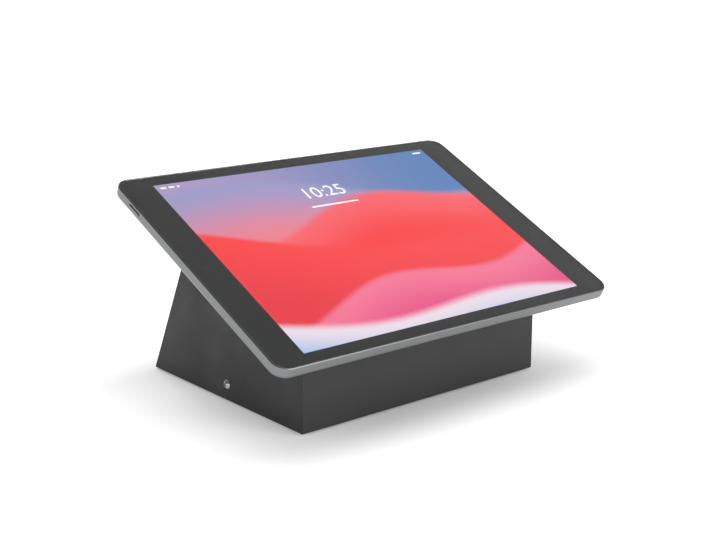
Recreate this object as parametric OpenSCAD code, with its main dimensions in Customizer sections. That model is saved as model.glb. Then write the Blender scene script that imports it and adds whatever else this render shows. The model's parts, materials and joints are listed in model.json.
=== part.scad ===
// Tablet security kiosk stand
// A wedge of folded sheet steel stands on a counter and carries a tablet on its sloping top.
// Millimetres, +X to the right, +Y to the back, +Z up. The origin is on the counter, under the
// middle of the whole object's box.

/* [Wedge] */
// Width of the wedge over its two side panels
wedge_w = 178.5; // [165:0.5:210]
// Depth of the wedge along the counter
wedge_d = 150; // [140:1:180]
// Height of the front panel up to the slope
front_h = 53; // [48:1:65]
// Slope of the top from level, in degrees
tilt = 25; // [20:1:32]
// Lean of the back panel from upright, in degrees
back_lean = 26; // [16:1:30]
// Thickness of the folded sheet
sheet_t = 2; // [1.5:0.1:2.5]
// Outer radius of the two folds
fold_r = 3.5; // [3:0.1:6]
// Gap between the counter and the wedge's lower edge
edge_lift = 1.2; // [0.8:0.1:3]

/* [Base plate] */
// Thickness of the base plate and its flanges
base_t = 2.5; // [2:0.1:4]
// Height of the base plate's underside over the wedge's lower edge
base_recess = 0.8; // [0.3:0.1:3]
// Clearance between the base plate and the wedge's walls
base_gap = 0.5; // [0.2:0.1:1]
// Height of the side flanges over the plate's underside
flange_h = 18; // [15:0.5:24]
// Length of the side flanges
flange_l = 100; // [60:1:110]
// Diameter of a counter bolt hole
counter_hole_d = 5.5; // [4:0.1:7]
// Distance between the counter bolt holes, side to side
counter_x = 120; // [90:1:130]
// Distance between the counter bolt holes, front to back
counter_y = 80; // [50:1:90]
// Diameter of a rubber foot at the base plate
foot_d = 14; // [10:0.5:18]
// Slant of a foot's rim, measured inwards at the counter
foot_rim = 0.8; // [0.3:0.1:1.5]
// Distance of a foot's middle from the base plate's nearest edges
foot_inset = 13; // [11:0.5:20]

/* [Side screws] */
// Thread diameter of the side screws
screw_d = 3; // [2.5:0.5:4]
// Length of a screw under its head
screw_l = 11; // [9:0.5:14]
// Diameter of the domed head
head_d = 5.7; // [5.2:0.1:7.6]
// Height of the domed head
head_h = 1.65; // [1.5:0.05:2.2]
// Width of the six-sided key recess over its flats
key_w = 2; // [1.5:0.1:2.5]
// Depth of the key recess
key_depth = 1; // [0.7:0.1:1.2]
// Diameter of the pin that bars a plain key
key_pin_d = 0.7; // [0.5:0.1:0.9]
// Distance of the screws from the wedge's front
screw_y = 71; // [65:1:80]
// Height of the screws over the wedge's lower edge
screw_z = 9.6; // [9:0.2:12]
// Clearance round a screw or stud in a sheet
hole_gap = 0.3; // [0.1:0.05:0.5]
// Clearance between a thread and its nut
thread_gap = 0.05; // [0.02:0.01:0.1]
// Diameter of a clinch nut
clinch_d = 6.5; // [5.5:0.5:8]
// Length of a clinch nut
clinch_l = 5; // [3:0.5:6]

/* [Cable ways] */
// Width of the notch in the back panel
notch_w = 20; // [14:1:28]
// Height of the notch along the back panel
notch_h = 17; // [14:1:24]
// Thickness of the rubber trim in the notch
trim_t = 1.4; // [1:0.1:2]
// How far the trim's lips overlap the sheet
trim_lip = 2.5; // [1.5:0.1:4]
// Clearance between rubber and the sheet it sits in
rubber_gap = 0.05; // [0.02:0.01:0.1]
// Clearance of the base plate round the trim
bay_gap = 3; // [1:0.5:6]
// Depth of the base plate's cut-out behind the notch
bay_d = 12; // [8:1:20]
// Diameter of the grommet's hole in the right side panel
grommet_hole_d = 16; // [14:0.5:20]
// Diameter of the grommet's bore
grommet_bore_d = 11; // [8:0.5:12]
// How far the grommet's lips overlap the panel
grommet_lip = 2.5; // [1.5:0.1:4]
// Thickness of each of the grommet's lips
grommet_lip_t = 1.6; // [1:0.1:2.5]
// Distance of the grommet from the wedge's front
grommet_y = 62; // [50:1:75]
// Height of the grommet over the wedge's lower edge
grommet_z = 56; // [40:1:60]

/* [Carrier plate] */
// Width of the carrier plate
carrier_w = 160; // [146:1:164]
// Length of the carrier plate along the slope
carrier_l = 98; // [90:1:100]
// Thickness of the carrier plate
carrier_t = 2; // [1.5:0.1:3]
// Corner radius of the carrier plate
carrier_r = 8; // [4:0.5:12]
// Thickness of the adhesive pads
pad_t = 1.1; // [0.6:0.1:2]
// Width of an adhesive pad
pad_w = 144; // [120:1:146]
// Length of an adhesive pad along the slope
pad_l = 38; // [30:1:40]
// Gap between the two adhesive pads
pad_gap = 12; // [4:1:14]
// Diameter of the carrier's studs
stud_d = 4; // [3:0.5:6]
// Length of the studs under the carrier plate
stud_l = 11; // [9:0.5:16]
// Distance between the studs, side to side
stud_x = 120; // [100:1:126]
// Distance between the studs along the slope
stud_v = 70; // [50:1:74]
// Width of a flange nut over its flats
nut_w = 7; // [7:0.5:10]
// Height of a flange nut over its flange
nut_h = 3.6; // [3:0.1:5]
// Diameter of a nut's flange
nut_flange_d = 9; // [9:0.5:13]
// Thickness of a nut's flange
nut_flange_t = 1.2; // [0.8:0.1:1.6]

/* [Tablet] */
// Width of the tablet
tablet_w = 250.6; // [245:0.1:260]
// Length of the tablet along the slope
tablet_l = 174.1; // [170:0.1:180]
// Thickness of the tablet
tablet_t = 7.5; // [7.3:0.1:9]
// How far the tablet's middle lies up the slope from the middle of the wedge's top
tablet_up = 3; // [-4:0.5:6]
// Corner radius of the tablet
tablet_r = 9; // [7:0.5:14]
// Radius of the tablet's back edge
back_edge_r = 3; // [2:0.1:3.4]
// Chamfer on the metal rim round the glass
rim_chamfer = 0.5; // [0.3:0.05:0.7]
// Flat land between that chamfer and the glass
rim_land = 0.3; // [0.2:0.05:0.5]
// Thickness of the housing's side walls
wall_t = 2.4; // [2:0.1:2.8]
// Thickness of the housing's back
floor_t = 1; // [0.8:0.1:1.2]
// Thickness of the cover glass
glass_t = 0.9; // [0.7:0.05:1]
// Gap between the glass and the rim
glass_gap = 0.1; // [0.05:0.05:0.2]
// Thickness of the black border behind the glass
mask_t = 0.15; // [0.1:0.05:0.2]
// Thickness of the gasket that seats the glass
gasket_t = 0.2; // [0.1:0.05:0.3]
// Width of the black border left and right of the lit screen
side_border = 21.3; // [19:0.1:25]
// Width of the black border above and below the lit screen
end_border = 9.05; // [8:0.05:13]
// Width of the display panel's own frame round the lit screen
display_frame = 2; // [1:0.1:3]
// Thickness of the display panel
display_t = 2; // [1.6:0.1:2.2]

/* [Buttons] */
// Height of the side buttons over the tablet's back
button_level = 4.5; // [4.2:0.1:4.8]
// Thickness of a button
button_h = 1.8; // [1.4:0.1:2]
// Length of the power button
power_l = 11; // [8:0.5:14]
// Length of a volume button
volume_l = 10; // [8:0.5:12]
// How far a button stands proud of the rim
button_proud = 0.55; // [0.5:0.05:0.8]
// How far a button presses in
button_travel = 0.35; // [0.2:0.05:0.4]
// Clearance round a button in its slot
button_gap = 0.15; // [0.1:0.01:0.25]
// How far a button's inner lip overlaps the wall
button_lip = 0.7; // [0.4:0.1:0.9]
// Thickness of a button's inner lip
button_lip_t = 0.5; // [0.4:0.1:0.8]
// Clearance in front of and behind a button's lip
lip_gap = 0.1; // [0.05:0.05:0.2]
// Distance of the power button from the tablet's upper edge
power_in = 26; // [20:1:40]
// Distance of the first volume button from the tablet's left edge
volume_in = 26; // [20:1:40]
// Distance between the two volume buttons
volume_pitch = 14; // [13:0.5:20]
// Length of a switch block
switch_l = 5; // [3:0.5:8]
// Thickness of a switch block
switch_t = 1.2; // [0.8:0.1:1.4]

/* [Ports and cameras] */
// Width of the charge port's opening
port_w = 8.4; // [7:0.1:9]
// Height of the charge port's opening
port_h = 2.6; // [2.2:0.1:2.8]
// Thickness of the charge port's shell
port_wall = 0.5; // [0.3:0.05:0.6]
// Depth of the charge port behind the wall
port_depth = 7; // [5:0.5:9]
// Height of the charge port over the tablet's back
port_level = 4.1; // [4:0.1:4.2]
// Clearance round the port's opening in the wall
port_gap = 0.2; // [0.1:0.05:0.3]
// Width of the contact tongue in the port
tongue_w = 5.6; // [4:0.1:6]
// Thickness of the contact tongue
tongue_t = 0.7; // [0.5:0.05:0.9]
// Diameter of a speaker hole
speaker_hole_d = 1.5; // [1:0.1:1.8]
// Number of holes in front of each speaker
speaker_holes = 8; // [4:1:10]
// Distance between speaker holes
speaker_pitch = 2.5; // [2.2:0.1:2.7]
// Distance of each speaker from the middle of the right edge
speaker_y = 46; // [30:1:60]
// Width of a speaker
speaker_w = 10; // [6:0.5:12]
// Length of a speaker
speaker_l = 28; // [28:1:32]
// Height of a speaker
speaker_h = 4.2; // [4:0.1:4.8]
// Diameter of the window for the front camera
front_camera_d = 3; // [2:0.1:4]
// Width of the front camera's body
front_camera_w = 6.5; // [5:0.1:8]
// Height of the front camera's body
front_camera_h = 4; // [3:0.1:5]
// Diameter of the rear camera's barrel
rear_camera_d = 9; // [7:0.5:11]
// How far the rear camera stands proud of the back
rear_camera_proud = 0.6; // [0.3:0.1:0.9]
// Distance of the rear camera from the tablet's left and upper edges
rear_camera_in = 15; // [13:0.5:20]
// Overlap of the rear camera's flange on the housing's back
camera_flange = 1.5; // [1:0.1:2]
// Height of the rear camera over the tablet's back
rear_camera_h = 4.2; // [3:0.1:5]
// Clearance round a camera
camera_gap = 0.15; // [0.05:0.05:0.3]
// Diameter of the rear camera's lens
lens_d = 5.5; // [4:0.1:6]
// Thickness of the rear camera's lens
lens_t = 0.7; // [0.5:0.1:1]
// Clearance round the lens in its seat
lens_gap = 0.05; // [0.02:0.01:0.1]

/* [Tablet inside] */
// Distance of a battery cell from the tablet's left or right edge
side_bay = 48.3; // [46:0.1:60]
// Distance of a battery cell from the tablet's upper or lower edge
end_bay = 25.05; // [22:0.05:38]
// Thickness of a battery cell
battery_t = 2.8; // [2:0.1:3]
// Gap between the two battery cells
battery_gap = 6; // [4:0.5:10]
// Width of the logic board
board_w = 18; // [14:0.5:20]
// How far the logic board stops short of the battery at each end
board_short = 3; // [0:0.5:15]
// Thickness of the logic board
board_t = 0.8; // [0.6:0.1:1]
// Height of the posts under the logic board
post_h = 0.6; // [0.4:0.1:0.8]
// Diameter of those posts
post_d = 4; // [3:0.5:5]
// Distance of a post from the board's edges
post_in = 3; // [2.5:0.5:5]
// Gap between the logic board and the battery
board_gap = 4; // [2:0.5:6]
// Width of a chip on the board
chip_w = 12; // [8:0.5:13]
// Height of a chip on the board
chip_h = 1; // [0.6:0.1:1.2]
// Number of chips on the board
chips = 4; // [2:1:5]

/* [Hidden] */
$fn = 64;
// How far a cut reaches past the face that it opens
over = 1;
// Flats along each fold
fold_steps = 12;

// The wedge's outer corners, front to back and up, from its front lower edge
front_top = [0, front_h];
back_top = top_corner(0);
// The middle of the sloping top
top_mid = (front_top + back_top) / 2;
// The tablet's back face over the slope
tablet_seat = carrier_t + pad_t;
// The tablet's front upper edge, and the middle of the whole object, from the wedge's front
tablet_front = top_mid[0] + (tablet_up - tablet_l / 2) * cos(tilt) - (tablet_seat + tablet_t) * sin(tilt);
middle_y = (tablet_front + wedge_d) / 2;

// The base plate between the wedge's walls
base_w = wedge_w - 2 * (sheet_t + base_gap);
base_front = sheet_t + base_gap;
base_back = wedge_d - sheet_t / cos(back_lean) - (base_recess + base_t) * tan(back_lean) - base_gap;
foot_h = edge_lift + base_recess;
// Radius of the sphere that a screw's domed head is cut from
head_sphere_r = (pow(head_d / 2, 2) + pow(head_h, 2)) / (2 * head_h);
// A six-sided figure's corner radius for each millimetre over its flats
hex_corner = 1 / (2 * cos(30));

// Levels in the tablet over its back face
glass_low = tablet_t - glass_t;
mask_low = glass_low - mask_t;
ledge = mask_low - gasket_t;
// Distances in from the tablet's rim
recess_in = rim_chamfer + rim_land;
glass_in = recess_in + glass_gap;
// The inner face of a switch's button when pressed, in from the rim
switch_in = wall_t + lip_gap + button_lip_t + button_travel + lip_gap;
// The lit screen, the battery cells and the logic board fill the tablet up to their borders and bays
display_w = tablet_w - 2 * side_border;
display_l = tablet_l - 2 * end_border;
battery_w = tablet_w / 2 - side_bay - battery_gap / 2;
battery_l = tablet_l - 2 * end_bay;
board_l = battery_l - 2 * board_short;
board_x = battery_gap / 2 + battery_w + board_gap;
chip_pitch = board_l / chips;

// Where the slope meets the back, for a profile that lies an inset inside the wedge's outer faces
function top_corner(inset) =
    let (h = front_h - inset / cos(tilt))
    let (d = wedge_d - inset / cos(back_lean))
    let (y = (d - h * tan(back_lean)) / (1 + tan(tilt) * tan(back_lean)))
    [y, h + y * tan(tilt)];

// A unit step along a heading, in degrees
function step(heading) = [cos(heading), sin(heading)];

// Points along an arc between two headings from its centre
function arc(centre, r, from, to) =
    [for (i = [0 : fold_steps]) centre + r * step(from + (to - from) * i / fold_steps)];

// Frames that the pieces are drawn in

// From the wedge's front lower edge
module on_counter() {
    translate([0, -middle_y, edge_lift]) children();
}

// From the middle of the sloping top, +Y up the slope and +Z out of it
module on_slope() {
    on_counter() translate([0, top_mid[0], top_mid[1]]) rotate([tilt, 0, 0]) children();
}

// From the middle of the tablet's back face
module on_tablet() {
    on_slope() translate([0, tablet_up, tablet_seat]) children();
}

// From a point on the outer face of a side panel, +Z outwards; side is -1 on the left, 1 on the right
module on_side(side, y, z) {
    on_counter() translate([side * wedge_w / 2, y, z]) rotate([0, side * 90, 0]) children();
}

// From the lower edge of the back panel's outer face, +Y up the panel and +Z outwards
module on_back() {
    on_counter() translate([0, wedge_d, 0]) rotate([90 - back_lean, 0, 180]) children();
}

// From the rim behind a button or port, +X along the rim and +Z outwards
module on_left_rim(y, level) {
    on_tablet() translate([-tablet_w / 2, y, level]) rotate([0, -90, 0]) rotate(90) children();
}

module on_right_rim(y, level) {
    on_tablet() translate([tablet_w / 2, y, level]) rotate([0, 90, 0]) rotate(90) children();
}

module on_upper_rim(x, level) {
    on_tablet() translate([x, tablet_l / 2, level]) rotate([-90, 0, 0]) children();
}

module at_power() {
    on_left_rim(tablet_l / 2 - power_in, button_level) children();
}

// index is 0 for volume up and 1 for volume down
module at_volume(index) {
    on_upper_rim(-tablet_w / 2 + volume_in + index * volume_pitch, button_level) children();
}

// Shapes that repeat

module at_corners(x, y) {
    for (i = [-1, 1], j = [-1, 1]) translate([i * x / 2, j * y / 2, 0]) children();
}

module rounded_rect(w, l, r) {
    square([w - 2 * r, l], center = true);
    square([w, l - 2 * r], center = true);
    at_corners(w - 2 * r, l - 2 * r) circle(r);
}

module pill(l, h) {
    square([l - h, h], center = true);
    for (i = [-1, 1]) translate([i * (l - h) / 2, 0]) circle(h / 2);
}

// A round-topped doorway, standing on y = 0 and reaching a little under it
module arch(w, h, under) {
    translate([-w / 2, -under]) square([w, h - w / 2 + under]);
    translate([0, h - w / 2]) circle(w / 2);
}

// The wedge's side view, an inset inside its outer faces, reaching under its lower edge
module wedge_profile(inset, under) {
    r = fold_r - inset;
    front = [inset, front_h - inset / cos(tilt) + inset * tan(tilt)];
    back = top_corner(inset);
    back_angle = 90 - tilt + back_lean;
    front_centre = front + r / sin((90 + tilt) / 2) * step((tilt - 90) / 2);
    back_centre = back + r / sin(back_angle / 2) * step(180 + tilt + back_angle / 2);
    polygon(concat(
        [[inset, -under]],
        arc(front_centre, r, 180, 90 + tilt),
        arc(back_centre, r, 90 + tilt, back_lean),
        [[wedge_d - inset / cos(back_lean) + under * tan(back_lean), -under]]
    ));
}

// A side view carried across the wedge from x, w wide
module across(x, w) {
    on_counter() translate([x, 0, 0]) rotate([90, 0, 90]) linear_extrude(w) children();
}

// The wedge

module wrap_sheet() color("#45464a") {
    inner_w = wedge_w - 2 * sheet_t;
    difference() {
        across(-inner_w / 2, inner_w) difference() {
            wedge_profile(0, 0);
            wedge_profile(sheet_t, over);
        }
        on_slope() at_corners(stud_x, stud_v) translate([0, 0, -sheet_t - over])
            cylinder(d = stud_d + 2 * hole_gap, h = sheet_t + 2 * over);
        on_back() translate([0, 0, -sheet_t - over])
            linear_extrude(sheet_t + 2 * over) arch(notch_w, notch_h, sheet_t);
    }
}

module side_panel(side) {
    difference() {
        across(side < 0 ? -wedge_w / 2 : wedge_w / 2 - sheet_t, sheet_t) wedge_profile(0, 0);
        on_side(side, screw_y, screw_z) translate([0, 0, -sheet_t - over])
            cylinder(d = screw_d + 2 * hole_gap, h = sheet_t + 2 * over);
    }
}

module side_panel_left() color("#404145") side_panel(-1);

module side_panel_right() color("#404145") {
    difference() {
        side_panel(1);
        on_side(1, grommet_y, grommet_z) translate([0, 0, -sheet_t - over])
            cylinder(d = grommet_hole_d, h = sheet_t + 2 * over);
    }
}

module base_plate() color("#3a3b3e") {
    bay_w = notch_w + 2 * (trim_lip + bay_gap);
    difference() {
        on_counter() union() {
            translate([-base_w / 2, base_front, base_recess]) cube([base_w, base_back - base_front, base_t]);
            for (x = [-base_w / 2, base_w / 2 - base_t])
                translate([x, screw_y - flange_l / 2, base_recess]) cube([base_t, flange_l, flange_h]);
        }
        on_counter() translate([0, wedge_d / 2, base_recess - over]) at_corners(counter_x, counter_y)
            cylinder(d = counter_hole_d, h = base_t + 2 * over);
        on_counter() translate([-bay_w / 2, base_back - bay_d, base_recess - over])
            cube([bay_w, bay_d + over, base_t + 2 * over]);
        for (side = [-1, 1]) on_side(side, screw_y, screw_z)
            translate([0, 0, -sheet_t - base_gap - base_t - over])
            cylinder(d = screw_d + 2 * hole_gap, h = base_t + 2 * over);
    }
}

module rubber_feet() color("#161617") {
    on_counter() translate([0, (base_front + base_back) / 2, -edge_lift])
        at_corners(base_w - 2 * foot_inset, base_back - base_front - 2 * foot_inset)
        cylinder(d1 = foot_d - 2 * foot_rim, d2 = foot_d, h = foot_h);
}

module side_screws() color("#c9cacc") {
    for (side = [-1, 1]) on_side(side, screw_y, screw_z) {
        difference() {
            union() {
                translate([0, 0, -screw_l]) cylinder(d = screw_d, h = screw_l);
                intersection() {
                    translate([0, 0, head_h - head_sphere_r]) sphere(head_sphere_r);
                    cylinder(d = head_d, h = head_h);
                }
            }
            translate([0, 0, head_h - key_depth])
                cylinder(r = key_w * hex_corner, h = key_depth + over, $fn = 6);
        }
        translate([0, 0, head_h - key_depth]) cylinder(d = key_pin_d, h = key_depth - key_pin_d / 2);
    }
}

module clinch_nuts() color("#b8b9bb") {
    for (side = [-1, 1]) on_side(side, screw_y, screw_z)
        translate([0, 0, -sheet_t - base_gap - base_t - clinch_l]) difference() {
            cylinder(d = clinch_d, h = clinch_l);
            translate([0, 0, -over]) cylinder(d = screw_d + 2 * thread_gap, h = clinch_l + 2 * over);
        }
}

module cable_notch_trim() color("#1b1b1c") {
    reach = sheet_t + 2 * trim_t;
    intersection() {
        on_back() difference() {
            union() {
                translate([0, 0, -sheet_t - trim_t])
                    linear_extrude(reach) arch(notch_w - 2 * rubber_gap, notch_h - rubber_gap, reach);
                for (z = [-sheet_t - trim_t, 0]) translate([0, 0, z])
                    linear_extrude(trim_t) arch(notch_w + 2 * trim_lip, notch_h + trim_lip, reach);
            }
            translate([0, 0, -sheet_t - trim_t - over])
                linear_extrude(reach + 2 * over) arch(notch_w - 2 * trim_t, notch_h - trim_t, reach + over);
        }
        // Nothing of the trim hangs under the wedge's lower edge
        on_counter() translate([-notch_w, wedge_d - 2 * notch_h, 0])
            cube([2 * notch_w, 3 * notch_h, 2 * notch_h]);
    }
}

module side_grommet() color("#1b1b1c") {
    reach = sheet_t + 2 * grommet_lip_t;
    on_side(1, grommet_y, grommet_z) difference() {
        union() {
            translate([0, 0, -sheet_t - grommet_lip_t])
                cylinder(d = grommet_hole_d - 2 * rubber_gap, h = reach);
            for (z = [-sheet_t - grommet_lip_t, 0]) translate([0, 0, z])
                cylinder(d = grommet_hole_d + 2 * grommet_lip, h = grommet_lip_t);
        }
        translate([0, 0, -sheet_t - grommet_lip_t - over]) cylinder(d = grommet_bore_d, h = reach + 2 * over);
    }
}

// What holds the tablet

module carrier_plate() color("#3a3b3e") {
    on_slope() linear_extrude(carrier_t) rounded_rect(carrier_w, carrier_l, carrier_r);
}

module carrier_studs() color("#b8b9bb") {
    on_slope() at_corners(stud_x, stud_v) translate([0, 0, -stud_l]) cylinder(d = stud_d, h = stud_l);
}

module flange_nuts() color("#b8b9bb") {
    on_slope() at_corners(stud_x, stud_v) translate([0, 0, -sheet_t]) difference() {
        union() {
            translate([0, 0, -nut_flange_t]) cylinder(d = nut_flange_d, h = nut_flange_t);
            translate([0, 0, -nut_flange_t - nut_h]) cylinder(r = nut_w * hex_corner, h = nut_h, $fn = 6);
        }
        translate([0, 0, -nut_flange_t - nut_h - over])
            cylinder(d = stud_d + 2 * thread_gap, h = nut_flange_t + nut_h + 2 * over);
    }
}

module adhesive_pads() color("#2a2a2b") {
    on_slope() for (j = [-1, 1])
        translate([-pad_w / 2, j * (pad_l + pad_gap) / 2 - pad_l / 2, carrier_t]) cube([pad_w, pad_l, pad_t]);
}

// The tablet

// Cross-section of the housing, w wide, with round back edges and chamfered front edges
module housing_section(w) {
    side_top = tablet_t - rim_chamfer;
    translate([-w / 2, back_edge_r]) square([w, side_top - back_edge_r]);
    translate([-w / 2 + back_edge_r, 0]) square([w - 2 * back_edge_r, back_edge_r]);
    for (i = [-1, 1]) translate([i * (w / 2 - back_edge_r), back_edge_r]) circle(back_edge_r);
    polygon([
        [-w / 2, side_top],
        [w / 2, side_top],
        [w / 2 - rim_chamfer, tablet_t],
        [-w / 2 + rim_chamfer, tablet_t]
    ]);
}

// The housing before it is hollowed: two crossed bars with turned corners
module housing_blank() {
    straight_w = tablet_w - 2 * tablet_r;
    straight_l = tablet_l - 2 * tablet_r;
    translate([0, straight_l / 2, 0]) rotate([90, 0, 0])
        linear_extrude(straight_l) housing_section(tablet_w);
    translate([-straight_w / 2, 0, 0]) rotate([90, 0, 90])
        linear_extrude(straight_w) housing_section(tablet_l);
    at_corners(straight_w, straight_l) rotate_extrude() intersection() {
        housing_section(2 * tablet_r);
        square([tablet_r, tablet_t]);
    }
}

// An outline that lies a distance in from the tablet's rim
module tablet_outline(inset) {
    rounded_rect(tablet_w - 2 * inset, tablet_l - 2 * inset, tablet_r - inset);
}

module board_posts() {
    translate([board_x + board_w / 2, 0, floor_t]) at_corners(board_w - 2 * post_in, board_l - 2 * post_in)
        cylinder(d = post_d, h = post_h);
}

module rear_housing() color("#b4b6b9") {
    difference() {
        on_tablet() union() {
            difference() {
                housing_blank();
                translate([0, 0, ledge]) linear_extrude(tablet_t) tablet_outline(recess_in);
                translate([0, 0, floor_t]) linear_extrude(tablet_t) tablet_outline(wall_t);
            }
            board_posts();
        }
        at_rear_camera() translate([0, 0, -over])
            cylinder(d = rear_camera_d + 2 * camera_gap, h = rear_camera_proud + floor_t + 2 * over);
        at_power() button_slot(power_l);
        for (i = [0, 1]) at_volume(i) button_slot(volume_l);
        on_right_rim(0, port_level) translate([0, 0, -wall_t - over])
            linear_extrude(wall_t + 2 * over) pill(port_w + 2 * port_gap, port_h + 2 * port_gap);
        for (j = [-1, 1], i = [0 : speaker_holes - 1])
            on_right_rim(j * speaker_y + (i - (speaker_holes - 1) / 2) * speaker_pitch, port_level)
            translate([0, 0, -wall_t - over]) cylinder(d = speaker_hole_d, h = wall_t + 2 * over);
    }
}

module glass_gasket() color("#111112") {
    on_tablet() translate([0, 0, ledge]) linear_extrude(gasket_t) difference() {
        tablet_outline(glass_in);
        tablet_outline(wall_t);
    }
}

module cover_glass() color("#20222690") {
    on_tablet() translate([0, 0, glass_low]) linear_extrude(glass_t) tablet_outline(glass_in);
}

module bezel_mask() color("#0c0c0d") {
    on_tablet() translate([0, 0, mask_low]) linear_extrude(mask_t) difference() {
        tablet_outline(glass_in);
        square([display_w, display_l], center = true);
        at_front_camera() circle(d = front_camera_d);
    }
}

module display_panel() color("#e0506a") {
    on_tablet() translate([0, 0, mask_low - display_t]) linear_extrude(display_t)
        square([display_w + 2 * display_frame, display_l + 2 * display_frame], center = true);
}

module battery_cell(side) {
    on_tablet() translate([side * (battery_gap + battery_w) / 2, 0, floor_t]) linear_extrude(battery_t)
        square([battery_w, battery_l], center = true);
}

module battery_left() color("#2b2c30") battery_cell(-1);

module battery_right() color("#2b2c30") battery_cell(1);

module logic_board() color("#1f4a3a") {
    on_tablet() translate([board_x, -board_l / 2, floor_t + post_h]) {
        cube([board_w, board_l, board_t]);
        for (i = [0 : chips - 1])
            translate([(board_w - chip_w) / 2, (i + 0.5) * chip_pitch - chip_w / 2, board_t])
            cube([chip_w, chip_w, chip_h]);
    }
}

module speakers() color("#2a2a2b") {
    on_tablet() for (j = [-1, 1])
        translate([tablet_w / 2 - wall_t - speaker_w, j * speaker_y - speaker_l / 2, floor_t])
        cube([speaker_w, speaker_l, speaker_h]);
}

// The middle of the wide border left of the screen
module at_front_camera() {
    translate([-(tablet_w / 2 + display_w / 2) / 2, 0]) children();
}

module front_camera() color("#17181c") {
    on_tablet() at_front_camera() {
        translate([-front_camera_w / 2, -front_camera_w / 2, mask_low - front_camera_h])
            cube([front_camera_w, front_camera_w, front_camera_h]);
        translate([0, 0, mask_low - over]) cylinder(d = front_camera_d - 2 * camera_gap, h = mask_t + over);
    }
}

module at_rear_camera() {
    on_tablet() translate([-tablet_w / 2 + rear_camera_in, tablet_l / 2 - rear_camera_in, -rear_camera_proud])
        children();
}

module rear_camera() color("#2a2b2f") {
    at_rear_camera() difference() {
        union() {
            cylinder(d = rear_camera_d, h = rear_camera_proud + rear_camera_h);
            translate([0, 0, rear_camera_proud + floor_t])
                cylinder(d = rear_camera_d + 2 * camera_flange, h = rear_camera_h - floor_t);
        }
        translate([0, 0, -over]) cylinder(d = lens_d + 2 * lens_gap, h = lens_t + over);
    }
}

module camera_lens() color("#15202c") {
    at_rear_camera() cylinder(d = lens_d, h = lens_t);
}

module charge_port() color("#9a9ca0") {
    on_right_rim(0, port_level) translate([0, 0, -wall_t - port_depth]) {
        difference() {
            linear_extrude(port_depth) pill(port_w + 2 * port_wall, port_h + 2 * port_wall);
            translate([0, 0, port_wall]) linear_extrude(port_depth) pill(port_w, port_h);
        }
        translate([-tongue_w / 2, -tongue_t / 2, 0]) cube([tongue_w, tongue_t, port_depth - port_wall]);
    }
}

// The buttons, each with a lip behind the wall that keeps it in

module button_slot(l) {
    translate([0, 0, -wall_t - over])
        linear_extrude(wall_t + 2 * over) pill(l + 2 * button_gap, button_h + 2 * button_gap);
}

module press_button(l) {
    stem = wall_t + lip_gap;
    translate([0, 0, -stem]) linear_extrude(stem + button_proud) pill(l, button_h);
    translate([0, 0, -stem - button_lip_t])
        linear_extrude(button_lip_t) pill(l + 2 * button_lip, button_h + 2 * button_lip);
}

module power_button() color("#aeb0b4") at_power() press_button(power_l);

module volume_up_button() color("#aeb0b4") at_volume(0) press_button(volume_l);

module volume_down_button() color("#aeb0b4") at_volume(1) press_button(volume_l);

// A switch that stands on the housing's back behind a button
module switch_block() {
    translate([-switch_l / 2, -button_h / 2, -switch_in - switch_t])
        cube([switch_l, button_h / 2 + button_level - floor_t, switch_t]);
}

module switch_blocks() color("#303136") {
    at_power() switch_block();
    for (i = [0, 1]) at_volume(i) switch_block();
}

wrap_sheet();
side_panel_left();
side_panel_right();
base_plate();
rubber_feet();
side_screws();
clinch_nuts();
cable_notch_trim();
side_grommet();
carrier_plate();
carrier_studs();
flange_nuts();
adhesive_pads();
rear_housing();
glass_gasket();
cover_glass();
bezel_mask();
display_panel();
battery_left();
battery_right();
logic_board();
speakers();
front_camera();
rear_camera();
camera_lens();
charge_port();
switch_blocks();
power_button();
volume_up_button();
volume_down_button();
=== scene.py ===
# %% [markdown]
# # A tablet on a wedge for the shop counter
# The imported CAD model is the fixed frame. It is in metres, with +X to the right of someone who faces the
# screen, +Y to the back and +Z up. Here it gets its looks: softened edges, real finishes, light and a
# camera. Every new piece is worked out as an array of points in that same frame, so nothing has to be
# fitted later.

# %% Load the frame
import json
import math

import bmesh
import bpy
import numpy as np
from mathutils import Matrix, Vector


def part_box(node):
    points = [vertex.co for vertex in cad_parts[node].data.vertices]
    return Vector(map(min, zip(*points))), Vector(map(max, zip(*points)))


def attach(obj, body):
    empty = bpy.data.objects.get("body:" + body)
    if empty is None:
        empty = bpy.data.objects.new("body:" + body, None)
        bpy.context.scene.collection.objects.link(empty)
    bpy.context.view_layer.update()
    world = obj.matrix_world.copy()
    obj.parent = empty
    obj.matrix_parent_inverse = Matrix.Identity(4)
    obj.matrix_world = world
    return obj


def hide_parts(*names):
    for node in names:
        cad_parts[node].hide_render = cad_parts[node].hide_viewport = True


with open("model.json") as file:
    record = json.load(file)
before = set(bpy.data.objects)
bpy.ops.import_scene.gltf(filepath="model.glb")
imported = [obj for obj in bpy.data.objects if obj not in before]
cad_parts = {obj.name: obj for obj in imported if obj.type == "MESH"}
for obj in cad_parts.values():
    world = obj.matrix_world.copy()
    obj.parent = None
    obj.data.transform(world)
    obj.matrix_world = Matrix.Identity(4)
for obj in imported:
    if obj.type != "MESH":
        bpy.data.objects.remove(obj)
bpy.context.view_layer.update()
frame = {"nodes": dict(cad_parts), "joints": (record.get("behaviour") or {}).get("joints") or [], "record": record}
scene = bpy.context.scene

# %% [markdown]
# ## The camera
# The photograph looks at the stand from its front left and from a little above. A camera can be nudged by
# eye until the edges line up. Here its place, heading and lens come from a fit of the straight edges of the
# tablet and the wedge, so they are just written down. The lens is long, so upright edges stay upright.

# %% Camera
CAMERA_PLACE = (-0.4898, -0.5879, 0.2601)
CAMERA_HEADING = math.radians(39.77)
CAMERA_DROP = math.radians(14.23)
CAMERA_LENS = 66.2

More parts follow.
